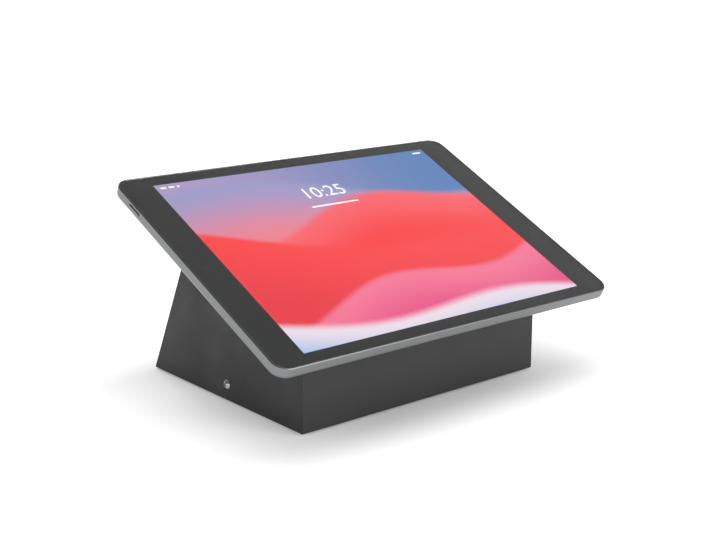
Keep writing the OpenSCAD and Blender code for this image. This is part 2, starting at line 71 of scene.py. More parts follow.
camera_data = bpy.data.cameras.new("camera")
camera_data.lens = CAMERA_LENS
camera = bpy.data.objects.new("camera", camera_data)
camera.location = CAMERA_PLACE
camera.rotation_euler = (math.pi / 2 - CAMERA_DROP, 0, -CAMERA_HEADING)
scene.collection.objects.link(camera)
scene.camera = camera
print("camera: lens", CAMERA_LENS, "mm")

# %% [markdown]
# ## The studio
# The stand was photographed on white in very soft light: there is no horizon, and the only shade is a faint
# grey pool round the foot of the wedge. Here the floor glows like a table of milky plastic that is lit from
# below, under a big soft ceiling, and that pool is painted shade: the glow is painted down in a dim patch
# round the stand. Under the wedge it is painted off and comes back just past the lower edge, as a painted
# contact shadow, so the gap over the feet stays dark. The rest comes from a sky that is brighter on the right
# than on the left, which makes the cheek a shade darker than the front panel. Where the sky itself comes into
# view it is plain white, as the floor is. One large lamp at the front right lifts the front panel, and one
# behind draws the shade forwards. The glass would mirror the one behind to anyone in front and look washed
# out, so that lamp is kept out of mirrors. The nodes are wired by a few helpers that later cells use.


# %% Wiring shader nodes
def plug(tree, socket, value):
    """Gives a socket its value: a link where the value is another node's socket, else the number itself."""
    if isinstance(value, bpy.types.NodeSocket):
        tree.links.new(value, socket)
    else:
        socket.default_value = value


def new_math(tree, operation, *values):
    """One Math node; each value is a number or a socket."""
    node = tree.nodes.new("ShaderNodeMath")
    node.operation = operation
    for socket, value in zip(node.inputs, values):
        plug(tree, socket, value)
    return node.outputs[0]


def new_vector(tree, operation, *values):
    """One Vector Math node; each value is three numbers or a socket. A length comes back as one number."""
    node = tree.nodes.new("ShaderNodeVectorMath")
    node.operation = operation
    for socket, value in zip(node.inputs, values):
        plug(tree, socket, value)
    return node.outputs["Value" if operation == "LENGTH" else "Vector"]


def new_range(tree, value, start, end, low=0.0, high=1.0, smooth=False):
    """Carries start..end over to low..high, straight or as a smooth step, and holds the ends."""
    node = tree.nodes.new("ShaderNodeMapRange")
    node.interpolation_type = "SMOOTHSTEP" if smooth else "LINEAR"
    for socket, number in zip(node.inputs, (value, start, end, low, high)):
        plug(tree, socket, number)
    return node.outputs["Result"]


print("helpers: shader nodes")


# %% A plain material
def new_finish(name, values):
    """A material with one Principled shader, whose sockets get the values that are the same all over.
    Returns the material, its node tree, the shader and the Object coordinates."""
    finish = bpy.data.materials.new(name)
    finish.use_nodes = True
    tree = finish.node_tree
    shader = tree.nodes["Principled BSDF"]
    for socket, value in values.items():
        shader.inputs[socket].default_value = value
    return finish, tree, shader, tree.nodes.new("ShaderNodeTexCoord").outputs["Object"]


print("helpers: a plain material")

# %% Floor
FLOOR_REACH = 200.0

floor_mesh = bpy.data.meshes.new("floor")
floor_corners = FLOOR_REACH * np.array([[-1, -1, 0], [1, -1, 0], [1, 1, 0], [-1, 1, 0]])
floor_mesh.from_pydata(floor_corners.tolist(), [], [[0, 1, 2, 3]])
floor = bpy.data.objects.new("floor", floor_mesh)
scene.collection.objects.link(floor)
print("floor:", 2 * FLOOR_REACH, "m wide")

# %% Glow of the floor, with painted shade round the stand
WHITE = (1.0, 1.0, 1.0, 1.0)
FLOOR_COLOUR = (0.8, 0.8, 0.8, 1.0)
FLOOR_ROUGHNESS = 0.9
# FLOOR_GLOW is the glow in the middle of the painted shade pool round the stand and the glow far out from it; the
# pool's rectangle and fade follow
FLOOR_GLOW = (0.18, 0.78)
SHADE_POOL_MIDDLE = (0.012, 0.007, 0)
SHADE_POOL_HALF = (0.03, 0.07, 0)
SHADE_POOL_FADE = (0.2, 0.06, 1)
# Painted contact shadow: the glow is out from this far inside the wedge's footprint and comes back over the fade
CONTACT_SHADOW_INSET = 0.005
CONTACT_SHADOW_FADE = (0.006, 0.006, 0.006)
FLAT = (1, 1, 0)


def node_box(node):
    """Lowest and highest corner of a CAD node, as arrays."""
    return np.array(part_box(node))


def rectangle_gap(tree, place, middle, half, fade):
    """How far a place is outside a rectangle, in fades: length(max(|place - middle| - half, 0) / fade)."""
    aside = new_vector(tree, "ABSOLUTE", new_vector(tree, "SUBTRACT", place, middle))
    outside = new_vector(tree, "MAXIMUM", new_vector(tree, "SUBTRACT", aside, half), (0, 0, 0))
    return new_vector(tree, "LENGTH", new_vector(tree, "DIVIDE", outside, fade))


floor_values = {
    "Base Color": FLOOR_COLOUR,
    "Roughness": FLOOR_ROUGHNESS,
    "Specular IOR Level": 0.0,
    "Emission Color": WHITE,
}
floor_finish, floor_tree, floor_shader, floor_place = new_finish("lit_table_painted_shade", floor_values)
strip_low, strip_high = node_box("wrap_sheet")
strip_reach = (strip_high - strip_low) / 2
foot_middle = tuple((strip_low + strip_reach) * FLAT)
foot_reach = tuple((strip_reach - CONTACT_SHADOW_INSET) * FLAT)
# Painted shade: the floor's glow is painted down in a pool round the stand. The stand does not cast this shade
painted_pool = rectangle_gap(floor_tree, floor_place, SHADE_POOL_MIDDLE, SHADE_POOL_HALF, SHADE_POOL_FADE)
painted_contact_shadow = rectangle_gap(floor_tree, floor_place, foot_middle, foot_reach, CONTACT_SHADOW_FADE)
glow_over_painted_pool = new_range(floor_tree, painted_pool, 0.0, 1.0, *FLOOR_GLOW, smooth=True)
# The painted contact shadow takes the floor's glow off under the wedge
glow = new_math(floor_tree, "MULTIPLY", glow_over_painted_pool, new_range(floor_tree, painted_contact_shadow, 0.0, 1.0))
plug(floor_tree, floor_shader.inputs["Emission Strength"], glow)
floor_mesh.materials.append(floor_finish)
print("floor glow:", FLOOR_GLOW[0], "over the card to", FLOOR_GLOW[1], "far out")

# %% Sky
SKY_LEFT = 0.1
SKY_RIGHT = 0.58

sky = bpy.data.worlds.new("sky")
sky.use_nodes = True
sky_tree = sky.node_tree
sky_light = sky_tree.nodes["Background"]
sky_light.inputs["Color"].default_value = WHITE
sky_way = sky_tree.nodes.new("ShaderNodeSeparateXYZ")
plug(sky_tree, sky_way.inputs[0], sky_tree.nodes.new("ShaderNodeTexCoord").outputs["Generated"])
sky_sweep = new_range(sky_tree, sky_way.outputs["X"], -1.0, 1.0, SKY_LEFT, SKY_RIGHT)
in_view = sky_tree.nodes.new("ShaderNodeLightPath").outputs["Is Camera Ray"]
plug(sky_tree, sky_light.inputs["Strength"], new_math(sky_tree, "MAXIMUM", sky_sweep, in_view))
scene.world = sky
scene.view_settings.view_transform = "Standard"
print("sky: strength", SKY_LEFT, "on the left to", SKY_RIGHT, "on the right")

# %% Lamps
LAMP_SIZE = 1.2
LAMP_TARGET = Vector((0, 0, 0.05))


def add_lamp(name, place, power, mirrored=True):
    """A square area lamp that stands at place and faces the wedge. A lamp that isn't mirrored lights the
    stand, but shows neither on the glass nor through it."""
    lamp_data = bpy.data.lights.new(name, "AREA")
    lamp_data.size = LAMP_SIZE
    lamp_data.energy = power
    lamp = bpy.data.objects.new(name, lamp_data)
    scene.collection.objects.link(lamp)
    lamp.location = place
    lamp.rotation_euler = (Vector(place) - LAMP_TARGET).to_track_quat("Z", "Y").to_euler()
    lamp.visible_glossy = mirrored
    lamp.visible_transmission = mirrored


add_lamp("front_lamp", place=(0.55, -1.74, 0.68), power=20.0)
add_lamp("back_lamp", place=(0.0, 1.1, 1.9), power=16.0, mirrored=False)
print("lamps:", [lamp.name for lamp in bpy.data.lights])

# %% [markdown]
# ## Places to build in
# The tablet lies on a slope and the back panel leans, so each piece is easiest to draw in a frame of its
# own and then seat in the model. The slope is read from the direction in which a volume button is pressed,
# and the other places come from the boxes round the CAD nodes, so that nothing here can drift from the
# frame.

# %% Frames on the slope and the tablet
MM = 0.001
CARRIER_T = 2 * MM
TABLET_T = 7.5 * MM
GLASS_T = 0.9 * MM


def node_middle(node):
    """Middle of a CAD node's box."""
    return sum(node_box(node)) / 2


ACROSS = np.array([1.0, 0.0, 0.0])
press = {joint["name"]: np.array(joint["axis"]) for joint in frame["joints"]}
SLOPE_UP = -press["volume_up_press"]
SLOPE_OUT = np.cross(ACROSS, SLOPE_UP)
SLOPE_AXES = (ACROSS, SLOPE_UP, SLOPE_OUT)

top_middle = node_middle("carrier_plate") - CARRIER_T / 2 * SLOPE_OUT
tablet_middle = node_middle("cover_glass") - (TABLET_T - GLASS_T / 2) * SLOPE_OUT
ON_SLOPE = (top_middle, SLOPE_AXES)
ON_TABLET = (tablet_middle, SLOPE_AXES)


def seat(points, place):
    """Local points in the model's frame: origin + a * first axis + b * second axis + c * third axis."""
    origin, axes = place
    return origin + np.asarray(points) @ np.array(axes)


tilt = math.atan2(SLOPE_UP[2], SLOPE_UP[1])
print("slope:", round(math.degrees(tilt), 2), "degrees; tablet at", np.round(tablet_middle, 4))

# %% [markdown]
# ## From arrays to meshes
# Most of the pieces here are an outline with a section carried round it, or a section turned about an axis.
# In the viewport one would extrude and bevel; with arrays the same shapes are a few lines, and every edge
# radius stays a number. The helpers below give points and faces, and one function makes the Blender object.


# %% Grids, outlines and sections
def grid_faces(rows, columns, close_rows=False, close_columns=False):
    """Four-sided faces between neighbours in a grid of rows x columns; a closed way joins its ends."""
    row, column = np.meshgrid(
        np.arange(rows - (not close_rows)), np.arange(columns - (not close_columns)), indexing="ij"
    )
    next_row, next_column = (row + 1) % rows, (column + 1) % columns
    corners = [
        row * columns + column,
        row * columns + next_column,
        next_row * columns + next_column,
        next_row * columns + column,
    ]
    return np.stack(corners, -1).reshape(-1, 4)


def rounded_outline(width, length, radius, steps=12):
    """Points and outward normals round a rectangle: each corner is centre + radius * (cos a, sin a)."""
    angle = np.linspace(0, math.pi / 2, steps + 1) + math.pi / 2 * np.arange(4)[:, None]
    normal = np.stack([np.cos(angle), np.sin(angle)], -1)
    corner = np.array([[1, 1], [-1, 1], [-1, -1], [1, -1]])[:, None]
    points = corner * np.array([width / 2 - radius, length / 2 - radius]) + radius * normal
    return points.reshape(-1, 2), normal.reshape(-1, 2)


def rounded_edge(low, high, low_radius, high_radius, steps=6):
    """A plate's edge as (distance in, height): a quarter circle at its lower and at its upper end."""
    angle = np.linspace(0, math.pi / 2, steps + 1)
    lower = [low_radius * (1 - np.sin(angle)), low + low_radius * (1 - np.cos(angle))]
    upper = [high_radius * (1 - np.cos(angle)), high - high_radius * (1 - np.sin(angle))]
    return np.concatenate([np.transpose(lower), np.transpose(upper)])


def softened(corners, radii, steps=5):
    """A closed outline with eased corners: (1-t)^2 a + 2t(1-t) corner + t^2 b, a and b a radius away."""
    corners = np.asarray(corners, float)
    back, on = np.roll(corners, 1, 0) - corners, np.roll(corners, -1, 0) - corners
    reach = np.broadcast_to(radii, len(corners))[:, None]
    a = (corners + reach * back / np.linalg.norm(back, axis=1, keepdims=True))[:, None]
    b = (corners + reach * on / np.linalg.norm(on, axis=1, keepdims=True))[:, None]
    t = np.linspace(0, 1, steps + 1)[None, :, None]
    return ((1 - t) ** 2 * a + 2 * t * (1 - t) * corners[:, None] + t**2 * b).reshape(-1, 2)


print("helpers: grids, outlines and sections")


# %% Plates and turned shapes
def skin(rings, place, close_rows=False, capped=False):
    """Points, faces and lids of a grid of closed rings, seated in a place; capped adds a lid at each end."""
    rows, columns = rings.shape[:2]
    first = np.arange(columns)
    lids = [first, first + (rows - 1) * columns] if capped else []
    return seat(rings.reshape(-1, 3), place), grid_faces(rows, columns, close_rows, True), lids


def plate(outline, section, place):
    """A section carried round an outline: ring j lies section[j, 0] inside it at height section[j, 1]."""
    points, normals = outline
    inset, height = np.asarray(section).T
    rings = np.empty((len(inset), len(points), 3))
    rings[..., :2] = points - inset[:, None, None] * normals
    rings[..., 2] = height[:, None]
    return skin(rings, place, capped=True)


def turned(section, place, steps=64, close=False):
    """Rows of (radius, height) turned about the third axis: (r cos a, r sin a, h) for each angle a. A
    radius or a height is one number, or a number for each angle."""
    angle = np.arange(steps) * 2 * math.pi / steps
    radius = np.stack([np.broadcast_to(row[0], steps) for row in section])
    height = np.stack([np.broadcast_to(row[1], steps) for row in section])
    rings = np.stack([radius * np.cos(angle), radius * np.sin(angle), height], -1)
    return skin(rings, place, close_rows=close)


print("helpers: plates and turned shapes")

# %% One object from its parts
CRISP = math.radians(35)


def merge(mesh, reach=1e-7):
    """Merges points that lie together and turns every face outwards."""
    work = bmesh.new()
    work.from_mesh(mesh)
    bmesh.ops.remove_doubles(work, verts=work.verts, dist=reach)
    bmesh.ops.recalc_face_normals(work, faces=work.faces)
    work.to_mesh(mesh)
    work.free()


def make_mesh(name, parts):
    """Joins parts of (points, four-sided faces, lids), merges doubles and turns the faces outwards."""
    starts = np.cumsum([0] + [len(points) for points, faces, lids in parts])
    faces = [face for start, part in zip(starts, parts) for face in (part[1] + start).tolist()]
    faces += [(lid + start).tolist() for start, part in zip(starts, parts) for lid in part[2]]
    mesh = bpy.data.meshes.new(name)
    mesh.from_pydata(np.concatenate([part[0] for part in parts]).tolist(), [], faces)
    merge(mesh)
    return mesh


def show(mesh, slot, body="stand", stands_for=(), finish=None):
    """Puts a mesh in the scene: smooth with crisp corners, in its slot's finish unless another is named, on
    the body that it rides on and in place of the CAD nodes that it stands for."""
    mesh.shade_smooth()
    mesh.set_sharp_from_angle(angle=CRISP)
    mesh.materials.clear()
    mesh.materials.append(FINISHES[finish or slot])
    piece = bpy.data.objects.new(mesh.name, mesh)
    scene.collection.objects.link(piece)
    even = piece.modifiers.new("even_normals", "WEIGHTED_NORMAL")
    even.keep_sharp = True
    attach(piece, body)
    if stands_for:
        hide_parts(*stands_for)
    print(mesh.name + ":", len(mesh.vertices), "points,", len(mesh.polygons), "faces")
    return piece


print("helpers: meshes and pieces")

# %% [markdown]
# ## Finishes
# Powder coat, anodised metal, rubber and moulded plastic differ in how fine their grain is, how far their
# sheen wanders and how high their relief stands. One recipe covers them: a fine noise lifts the surface, a
# broad noise wanders the roughness, and both together shift the colour a little. The noises read Object
# coordinates in metres, so a grain of half a millimetre is half a millimetre on every piece.

# %% A recipe for grained finishes
NOISE_SPAN = (0.3, 0.7)
FINE_DETAIL = 2.0
BROAD_DETAIL = 3.0


def new_noise(tree, coordinates, size, detail):
    """A noise with features of about size metres; returns its value, near 0.5."""
    noise = tree.nodes.new("ShaderNodeTexNoise")
    noise.inputs["Scale"].default_value = 1 / size
    noise.inputs["Detail"].default_value = detail
    plug(tree, noise.inputs["Vector"], coordinates)
    return noise.outputs["Fac"]


def new_mix(tree, share, first, second):
    """A colour between two, by a share from 0 to 1; each is a colour of four numbers or a socket."""
    mix = tree.nodes.new("ShaderNodeMix")
    mix.data_type = "RGBA"
    plug(tree, mix.inputs["Factor"], share)
    # The node has sockets for numbers and vectors too: its colours go in at 6 and 7 and come out at 2
    plug(tree, mix.inputs[6], first)
    plug(tree, mix.inputs[7], second)
    return mix.outputs[2]


def grained(name, dark, light, grain, patch, roughness, relief, metal):
    """Colour runs from dark to light with both noises, roughness wanders with the broad one over its pair,
    and the fine one lifts the surface by the relief. Grain, patch and relief are in millimetres."""
    finish, tree, shader, place = new_finish(name, {"Metallic": metal})
    fine = new_noise(tree, place, grain * MM, FINE_DETAIL)
    broad = new_noise(tree, place, patch * MM, BROAD_DETAIL)
    both = new_math(tree, "MULTIPLY_ADD", fine, 0.5, new_math(tree, "MULTIPLY", broad, 0.5))
    colour = new_mix(tree, new_range(tree, both, *NOISE_SPAN), (*dark, 1.0), (*light, 1.0))
    plug(tree, shader.inputs["Base Color"], colour)
    plug(tree, shader.inputs["Roughness"], new_range(tree, broad, *NOISE_SPAN, *roughness))
    bump = tree.nodes.new("ShaderNodeBump")
    bump.inputs["Distance"].default_value = relief * MM
    plug(tree, bump.inputs["Height"], fine)
    plug(tree, shader.inputs["Normal"], bump.outputs["Normal"])
    return finish


print("helpers: grained finishes")

# %% The grained finishes
# Each row is the dark and the light colour, grain, patch, the roughness pair, relief and metal
GRAINED = {
    "powder_coat": ((0.0105, 0.011, 0.012), (0.020, 0.0205, 0.0215), 0.6, 30, (0.48, 0.62), 0.06, 0.0),
    "coated_plate": ((0.016, 0.016, 0.018), (0.028, 0.028, 0.030), 0.9, 25, (0.40, 0.52), 0.012, 0.0),
    "stainless": ((0.50, 0.50, 0.51), (0.68, 0.68, 0.69), 0.12, 2, (0.22, 0.34), 0.002, 1.0),
    "zinc_steel": ((0.40, 0.41, 0.42), (0.56, 0.56, 0.54), 0.2, 3, (0.30, 0.48), 0.004, 1.0),
    "rubber": ((0.009, 0.009, 0.010), (0.019, 0.019, 0.020), 0.35, 6, (0.70, 0.86), 0.015, 0.0),
    "foam_tape": ((0.018, 0.018, 0.019), (0.042, 0.042, 0.044), 0.25, 4, (0.85, 0.95), 0.05, 0.0),
    "anodised_aluminium": (
        (0.188, 0.191, 0.195), (0.234, 0.2375, 0.242), 0.15, 30, (0.30, 0.38), 0.0025, 1.0
    ),
    "black_print": ((0.005, 0.005, 0.006), (0.009, 0.009, 0.010), 0.3, 30, (0.55, 0.68), 0.001, 0.0),
    "battery_foil": ((0.020, 0.020, 0.024), (0.045, 0.045, 0.050), 3, 20, (0.28, 0.45), 0.03, 0.6),
    "circuit_board": ((0.006, 0.030, 0.020), (0.020, 0.085, 0.055), 0.8, 5, (0.35, 0.55), 0.02, 0.0),
    "black_plastic": ((0.013, 0.013, 0.014), (0.026, 0.026, 0.028), 0.2, 5, (0.42, 0.58), 0.008, 0.0),
    "lens_glass": ((0.006, 0.008, 0.016), (0.014, 0.020, 0.036), 2, 4, (0.03, 0.06), 0.0, 0.0),
    "port_steel": ((0.32, 0.33, 0.34), (0.48, 0.48, 0.49), 0.1, 2, (0.25, 0.40), 0.002, 1.0),
}
FINISHES = {name: grained(name, *row) for name, row in GRAINED.items()}
print("finishes:", ", ".join(FINISHES))

# %% [markdown]
# ## Cover glass
# The glass is clear, with a ground edge. Real glass needs only a Principled shader with full transmission:
# it mirrors the white studio more the flatter one looks at it, and that is what turns the black border grey
# in the photograph. A screen's glass has a coating that mirrors less than bare glass does, and an index of
# refraction a little under that of glass gives the same. Hands leave a faint film on it, so a broad noise
# dulls the mirror a little in patches.

# %% Glass finish
GLASS_COLOUR = (0.97, 0.98, 0.98, 1.0)
GLASS_IOR = 1.33
FILM_PATCH = 35 * MM
FILM_DETAIL = 4.0
FILM_ROUGHNESS = (0.0, 0.06)

glass_values = {"Base Color": GLASS_COLOUR, "IOR": GLASS_IOR, "Transmission Weight": 1.0}
glass_finish, glass_tree, glass_shader, glass_place = new_finish("cover_glass", glass_values)
film = new_noise(glass_tree, glass_place, FILM_PATCH, FILM_DETAIL)
film_roughness = new_range(glass_tree, film, *NOISE_SPAN, *FILM_ROUGHNESS)
plug(glass_tree, glass_shader.inputs["Roughness"], film_roughness)
FINISHES["cover_glass"] = glass_finish
print("glass: IOR", GLASS_IOR)

# %% [markdown]
# ## The picture on the screen
# The screen shows a plain wallpaper of layered waves in the warm and cool colours of the photograph. It
# could be painted as an image, but a few sine curves in the shader stay sharp at any distance. Each wave is
# a curve across the screen; below its crest it covers what lies behind, and its colour deepens away from
# the crest.


# %% Wave layers
def srgb(red, green, blue):
    """A colour given in 0 to 255, as linear light, with its alpha."""
    value = np.array([red, green, blue]) / 255
    return (*np.where(value <= 0.04045, value / 12.92, ((value + 0.055) / 1.055) ** 2.4), 1.0)


def new_wave(tree, across, up, behind, wave):
    """Covers what lies behind, below level + lean * across + swell * sin(2 pi turns across + phase)."""
    level, lean, swell, turns, phase, soft, depth, crest, deep = wave
    angle = new_math(tree, "MULTIPLY_ADD", across, 2 * math.pi * turns, phase)
    swing = new_math(tree, "MULTIPLY_ADD", new_math(tree, "SINE", angle), swell, level)
    height = new_math(tree, "MULTIPLY_ADD", across, lean, swing)
    under = new_math(tree, "SUBTRACT", height, up)
    shade = new_range(tree, under, 0.0, depth, smooth=True)
    cover = new_range(tree, under, -soft, soft, smooth=True)
    return new_mix(tree, cover, behind, new_mix(tree, shade, srgb(*crest), srgb(*deep)))


print("helpers: waves")

# %% Screen finish
SCREEN_W = 208 * MM
SCREEN_BLACK = (0.01, 0.01, 0.01, 1.0)
SCREEN_ROUGHNESS = 0.3
SCREEN_GLOW = 1.0
SKY_COLOURS = ((172, 150, 196), (66, 118, 184))
# Each row is level, lean, swell, turns, phase, soft edge, depth, and the colours at the crest and deep down
WAVES = (
    (0.25, -0.16, 0.05, 0.9, 2.7, 0.03, 0.30, (150, 150, 202), (244, 122, 136)),
    (0.13, 0.10, 0.06, 1.1, 0.9, 0.02, 0.20, (255, 84, 94), (255, 18, 28)),
    (0.00, -0.22, 0.05, 0.8, 5.0, 0.015, 0.34, (255, 34, 42), (236, 12, 42)),
    (-0.20, 0.14, 0.045, 1.2, 2.2, 0.015, 0.20, (250, 112, 148), (236, 52, 128)),
    (-0.32, -0.12, 0.04, 0.9, 6.1, 0.02, 0.16, (244, 226, 238), (128, 182, 236)),
)

screen_values = {
    "Base Color": SCREEN_BLACK,
    "Roughness": SCREEN_ROUGHNESS,
    "Emission Strength": SCREEN_GLOW,
}
screen_finish, screen_tree, screen_shader, screen_place = new_finish("screen", screen_values)
centred = screen_tree.nodes.new("ShaderNodeMapping")
centred.inputs["Rotation"].default_value = (-tilt, 0, 0)
centred.inputs["Scale"].default_value = (1 / SCREEN_W,) * 3
centred.inputs["Location"].default_value = tuple(-np.array(SLOPE_AXES) @ tablet_middle / SCREEN_W)
plug(screen_tree, centred.inputs["Vector"], screen_place)
split = screen_tree.nodes.new("ShaderNodeSeparateXYZ")
plug(screen_tree, split.inputs[0], centred.outputs["Vector"])
screen_x, screen_y = split.outputs["X"], split.outputs["Y"]
screen_sweep = new_range(screen_tree, screen_x, -0.5, 0.5, smooth=True)
picture = new_mix(screen_tree, screen_sweep, *(srgb(*colour) for colour in SKY_COLOURS))
for wave in WAVES:
    picture = new_wave(screen_tree, screen_x, screen_y, picture, wave)
plug(screen_tree, screen_shader.inputs["Emission Color"], picture)
FINISHES["screen"] = screen_finish
print("screen:", len(WAVES), "waves,", len(screen_tree.nodes), "nodes")

# %% Finishes on the CAD nodes
node_slots = {part["node"]: part["material_slot"] for part in frame["record"]["subparts"]}
for node, slot in node_slots.items():
    for material_slot in frame["nodes"][node].material_slots:
        material_slot.material = FINISHES[slot]
print("dressed", len(node_slots), "CAD nodes")

# %% [markdown]
# ## The wedge
# The wedge is one strip of sheet steel folded twice, with a cheek welded on each side, and the welds are
# ground flush before the coat goes on. Its side view is three straight faces joined by two fold arcs. One
# could bevel a prism, but then the notch and the holes would fight the bevel. A side view that can be drawn
# at any inset gives the strip's two faces and the rounding of the cheeks from the same few lines.

# %% Side view of the wedge
FOLD_R = 3.5 * MM
FOLD_STEPS = 12

cheek_low, cheek_high = node_box("side_panel_right")
WEDGE_HALF = cheek_high[0]
wedge_front, wedge_back, wedge_edge = cheek_low[1], cheek_high[1], cheek_low[2]
front_top = np.array([wedge_front, top_middle[2] - (top_middle[1] - wedge_front) * math.tan(tilt)])
back_top = 2 * top_middle[1:] - front_top
back_lean = math.atan2(wedge_back - back_top[0], back_top[1] - wedge_edge)

# Each face as its outward heading and its distance from the origin along that heading
HEADINGS = (math.pi, math.pi / 2 + tilt, back_lean)
FACE_OUT = np.array([[math.cos(heading), math.sin(heading)] for heading in HEADINGS])
FACE_REACH = np.array([FACE_OUT[0] @ front_top, FACE_OUT[1] @ front_top, FACE_OUT[2] @ back_top])


def fold_arc(first, inset):
    """An arc between two faces, about the point that lies FOLD_R inside both of them."""
    centre = np.linalg.solve(FACE_OUT[first : first + 2], FACE_REACH[first : first + 2] - FOLD_R)
    angle = np.linspace(HEADINGS[first], HEADINGS[first + 1], FOLD_STEPS + 1)
    return centre + (FOLD_R - inset) * np.stack([np.cos(angle), np.sin(angle)], -1)


def on_face(face, inset, height):
    """Where a face, moved in by an inset, passes a height: heading . (y, z) = reach - inset."""
    out_y, out_z = FACE_OUT[face]
    return [(FACE_REACH[face] - inset - out_z * height) / out_y, height]


def wedge_outline(inset):
    """Side view an inset inside the faces: up the front, over both folds and down the back."""
    ends = [on_face(0, inset, wedge_edge)], [on_face(2, inset, wedge_edge)]
    return np.concatenate([ends[0], fold_arc(0, inset), fold_arc(1, inset), ends[1]])


print("wedge: back leans", round(math.degrees(back_lean), 2), "degrees,", len(wedge_outline(0)), "corners")

# %% [markdown]
# ## The cheeks
# A cheek is a flat plate with a hole, and its outer edge is eased by grinding. The plate is drawn as rings:
# from the hole over the inner face to the rim, across the edge, round the corner on a quarter circle, and
# back over the outer face to the hole. The rings close on themselves, so the plate has no open seam.

# %% Cheeks
SHEET_T = 2 * MM
EDGE_R = 0.5 * MM
EDGE_STEPS = 6
RIM_STEP = 4 * MM
SCREW_HOLE_R = 1.8 * MM
GROMMET_HOLE_R = 8 * MM


def stations(outline, step):
    """Places round a closed outline, as corner number plus share of the side, at most a step apart."""
    side = np.linalg.norm(np.roll(outline, -1, 0) - outline, axis=1)
    count = np.maximum(1, np.ceil(side / step)).astype(int)
    number = np.arange(count.sum()) - np.repeat(np.cumsum(count) - count, count)
    return np.repeat(np.arange(len(outline)), count) + number / np.repeat(count, count)


def along(outline, places):
    """Points of a closed outline at those places, straight between its corners."""
    corner = places.astype(int)
    share = (places - corner)[:, None]
    return outline[corner] * (1 - share) + outline[(corner + 1) % len(outline)] * share


def cheek(side, hole_middle, hole_r):
    """Rings between a hole and the wedge's side view; ring points lie on rays from the hole's middle."""
    places = stations(wedge_outline(0), RIM_STEP)
    rim = along(wedge_outline(0), places)
    ray = np.arctan2(rim[:, 1] - hole_middle[1], rim[:, 0] - hole_middle[0])
    hole = hole_middle + hole_r * np.stack([np.cos(ray), np.sin(ray)], -1)
    turn = np.linspace(0, math.pi / 2, EDGE_STEPS + 1)
    eased = [along(wedge_outline(inset), places) for inset in EDGE_R * (1 - np.cos(turn))]
    depth = np.concatenate([[SHEET_T, SHEET_T], EDGE_R * (1 - np.sin(turn)), [0]])
    rings = np.empty((len(depth), len(places), 3))
    rings[..., 0] = side * (WEDGE_HALF - depth[:, None])
    rings[..., 1:] = np.stack([hole, rim, *eased, hole])
    return rings.reshape(-1, 3), grid_faces(*rings.shape[:2], close_rows=True, close_columns=True), []


screw_middle = node_middle("side_screws")[1:]
grommet_middle = node_middle("side_grommet")[1:]
left_cheek = make_mesh("cheek_left", [cheek(-1, screw_middle, SCREW_HOLE_R)])
show(left_cheek, "powder_coat", stands_for=["side_panel_left"])
right_cheek = make_mesh("cheek_right", [cheek(1, grommet_middle, GROMMET_HOLE_R)])
show(right_cheek, "powder_coat", stands_for=["side_panel_right"])

# %% [markdown]
# ## The folded strip
# The strip is two grids of points with the same faces, one on each side of the sheet, and a wall wherever a
# face has no neighbour. The cable notch at the back is made by rows that bend down to its round top and by
# leaving out the faces under it, which keeps its edge a true arc with no Boolean to clean up.

# %% Folded strip with its cable notch
NOTCH_W = 20 * MM
NOTCH_H = 17 * MM
NOTCH_STEPS = 12
ARCH_ROWS = 4
BACK_UP = np.array([-math.sin(back_lean), math.cos(back_lean)])


def strip_rows(inset, column):
    """Strip points at one inset: the folds, then rows down the back to the arch or the lower edge. The
    arch's height is notch height - half width + sqrt(half width^2 - x^2)."""
    outline = wedge_outline(inset)
    top_row = np.broadcast_to(outline[:-1, None], (len(outline) - 1, len(column), 2))
    reach = np.minimum(np.abs(column), NOTCH_W / 2)
    arch = NOTCH_H - NOTCH_W / 2 + np.sqrt(NOTCH_W**2 / 4 - reach**2)
    share = np.linspace(0, 1, ARCH_ROWS + 1)[:, None]
    rise = np.concatenate([NOTCH_H + share * (arch - NOTCH_H), np.zeros((1, len(column)))])
    low = np.array([wedge_back, wedge_edge]) - inset * FACE_OUT[2]
    back_rows = low + rise[..., None] * BACK_UP
    back_rows[-1] = outline[-1]
    rows = np.concatenate([top_row, back_rows])
    return np.concatenate([np.broadcast_to(column[None, :, None], (*rows.shape[:2], 1)), rows], -1)


def thick_sheet(outer, inner, faces):
    """Two point grids with the same faces, and a wall along every edge that has only one face."""
    edges = np.concatenate([faces[:, [k, (k + 1) % 4]] for k in range(4)])
    first, count = np.unique(np.sort(edges, 1), axis=0, return_index=True, return_counts=True)[1:]
    rim = edges[first[count == 1]]
    total = len(outer)
    walls = np.concatenate([rim[:, ::-1], rim + total], 1)
    return np.concatenate([outer, inner]), np.concatenate([faces, faces[:, ::-1] + total, walls]), []


bend = np.linspace(math.pi, 0, NOTCH_STEPS + 1)
strip_half = WEDGE_HALF - SHEET_T
column = np.concatenate([[-strip_half], NOTCH_W / 2 * np.cos(bend), [strip_half]])
outer_rows, inner_rows = strip_rows(0, column), strip_rows(SHEET_T, column)
strip_faces = grid_faces(*outer_rows.shape[:2]).reshape(outer_rows.shape[0] - 1, -1, 4)
kept = np.ones(strip_faces.shape[:2], bool)
kept[-1, 1:-1] = False
strip = thick_sheet(outer_rows.reshape(-1, 3), inner_rows.reshape(-1, 3), strip_faces[kept])
show(make_mesh("folded_strip", [strip]), "powder_coat", stands_for=["wrap_sheet"])

# %% [markdown]
# ## Security screws
# The bright spot low on the cheek reads as the domed head of a security screw: a six-sided recess with a
# pin in its middle. A head like that can be cut with Booleans, but its recess is also just a ring whose
# radius follows a hexagon, so the whole screw is one turned grid with one ring that is not round.

